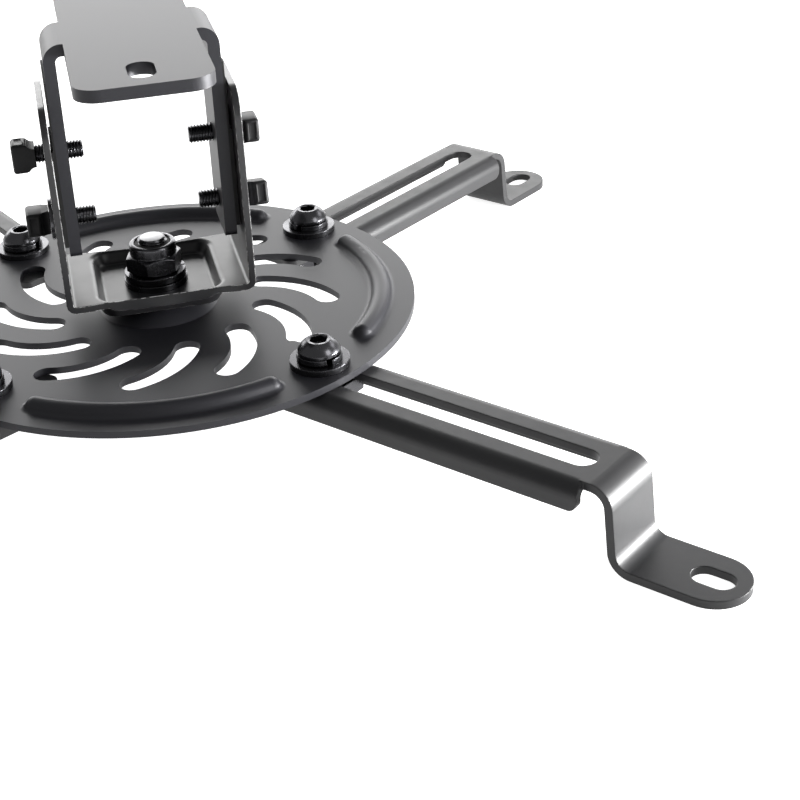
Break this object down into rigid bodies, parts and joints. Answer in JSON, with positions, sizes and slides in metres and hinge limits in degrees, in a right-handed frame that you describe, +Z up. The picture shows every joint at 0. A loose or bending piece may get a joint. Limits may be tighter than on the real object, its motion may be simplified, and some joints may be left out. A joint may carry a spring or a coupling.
{
  "type": "projector ceiling mount",
  "caption": "Projector ceiling mount: folded ceiling bracket, tilting U-bracket on thumb screws, slotted round spider plate that turns on a bolt, and sliding, swinging arms with stepped feet.",
  "frame": {"origin": "middle of the ceiling bracket's top face, which lies against the ceiling", "axes": "+Z up into the ceiling; X along the tilt axis; +Y away from the side that the picture shows"},
  "size_m": [0.2809, 0.2881, 0.0979],
  "materials": {
    "powder_coat": "semi-gloss black powder coat",
    "dark_steel": "black zinc plate",
    "strip": "plain black sheet",
    "thumb_grip": "moulded black grip on a steel stud",
    "nylon": "dark nylon"
  },
  "bodies": {
    "ceiling_body": {"ceiling_bracket": "powder_coat", "friction_strip_left": "strip", "friction_strip_right": "strip"},
    "swivel_body": {"swivel_bracket": "powder_coat", "swivel_bolt": "dark_steel", "bolt_washer": "dark_steel", "flat_washer": "dark_steel", "spring_washer": "dark_steel", "lock_nut": "dark_steel", "nylon_insert": "nylon"},
    "spider_body": {"spider_disc": "powder_coat", "friction_dome": "powder_coat"},
    "lower_left_screw": {"thumb_screw_lower_left": "thumb_grip", "pivot_washer_left": "dark_steel"},
    "upper_left_screw": {"thumb_screw_upper_left": "thumb_grip"},
    "lower_right_screw": {"thumb_screw_lower_right": "thumb_grip", "pivot_washer_right": "dark_steel"},
    "upper_right_screw": {"thumb_screw_upper_right": "thumb_grip"},
    "clamp_back_right": {"arm_screw_back_right": "dark_steel", "arm_spring_washer_back_right": "dark_steel", "arm_flat_washer_back_right": "dark_steel", "arm_nut_plate_back_right": "dark_steel"},
    "sliding_arm_back_right": {"arm_back_right": "powder_coat"},
    "clamp_back_left": {"arm_screw_back_left": "dark_steel", "arm_spring_washer_back_left": "dark_steel", "arm_flat_washer_back_left": "dark_steel", "arm_nut_plate_back_left": "dark_steel"},
    "sliding_arm_back_left": {"arm_back_left": "powder_coat"},
    "clamp_front_left": {"arm_screw_front_left": "dark_steel", "arm_spring_washer_front_left": "dark_steel", "arm_flat_washer_front_left": "dark_steel", "arm_nut_plate_front_left": "dark_steel"},
    "sliding_arm_front_left": {"arm_front_left": "powder_coat"},
    "clamp_front_right": {"arm_screw_front_right": "dark_steel", "arm_spring_washer_front_right": "dark_steel", "arm_flat_washer_front_right": "dark_steel", "arm_nut_plate_front_right": "dark_steel"},
    "sliding_arm_front_right": {"arm_front_right": "powder_coat"}
  },
  "joints": [
    {"name": "tilt", "type": "hinge", "parent": "ceiling_body", "child": "swivel_body", "pos_m": [0, 0, -0.0476], "axis": [1, 0, 0], "range_deg": [-15, 15]},
    {"name": "swivel", "type": "hinge", "parent": "swivel_body", "child": "spider_body", "pos_m": [0, 0, -0.075], "axis": [0, 0, 1], "continuous": true},
    {"name": "lower_left_screw_turn", "type": "hinge", "parent": "ceiling_body", "child": "lower_left_screw", "pos_m": [-0.0241, 0, -0.0476], "axis": [1, 0, 0], "continuous": true},
    {"name": "upper_left_screw_turn", "type": "hinge", "parent": "ceiling_body", "child": "upper_left_screw", "pos_m": [-0.0241, 0, -0.0298], "axis": [1, 0, 0], "continuous": true},
    {"name": "lower_right_screw_turn", "type": "hinge", "parent": "ceiling_body", "child": "lower_right_screw", "pos_m": [0.0241, 0, -0.0476], "axis": [1, 0, 0], "continuous": true},
    {"name": "upper_right_screw_turn", "type": "hinge", "parent": "ceiling_body", "child": "upper_right_screw", "pos_m": [0.0241, 0, -0.0298], "axis": [1, 0, 0], "continuous": true},
    {"name": "arm_swing_back_right", "type": "hinge", "parent": "spider_body", "child": "clamp_back_right", "pos_m": [0.04692, 0.03409, -0.075], "axis": [0, 0, 1], "range_deg": [-62.4, 57.6]},
    {"name": "arm_slide_back_right", "type": "slide", "parent": "clamp_back_right", "child": "sliding_arm_back_right", "axis": [0.7837, 0.6211, 0], "range_m": [-0.027, 0.009]},
    {"name": "arm_swing_back_left", "type": "hinge", "parent": "spider_body", "child": "clamp_back_left", "pos_m": [-0.03409, 0.04692, -0.075], "axis": [0, 0, 1], "range_deg": [-47, 73]},
    {"name": "arm_slide_back_left", "type": "slide", "parent": "clamp_back_left", "child": "sliding_arm_back_left", "axis": [-0.3907, 0.9205, 0], "range_m": [-0.027, 0.009]},
    {"name": "arm_swing_front_left", "type": "hinge", "parent": "spider_body", "child": "clamp_front_left", "pos_m": [-0.04692, -0.03409, -0.075], "axis": [0, 0, 1], "range_deg": [-57, 63]},
    {"name": "arm_slide_front_left", "type": "slide", "parent": "clamp_front_left", "child": "sliding_arm_front_left", "axis": [-0.8387, -0.5446, 0], "range_m": [-0.027, 0.009]},
    {"name": "arm_swing_front_right", "type": "hinge", "parent": "spider_body", "child": "clamp_front_right", "pos_m": [0.03409, -0.04692, -0.075], "axis": [0, 0, 1], "range_deg": [-63.6, 56.4]},
    {"name": "arm_slide_front_right", "type": "slide", "parent": "clamp_front_right", "child": "sliding_arm_front_right", "axis": [0.6374, -0.7705, 0], "range_m": [-0.027, 0.009]}
  ]
}
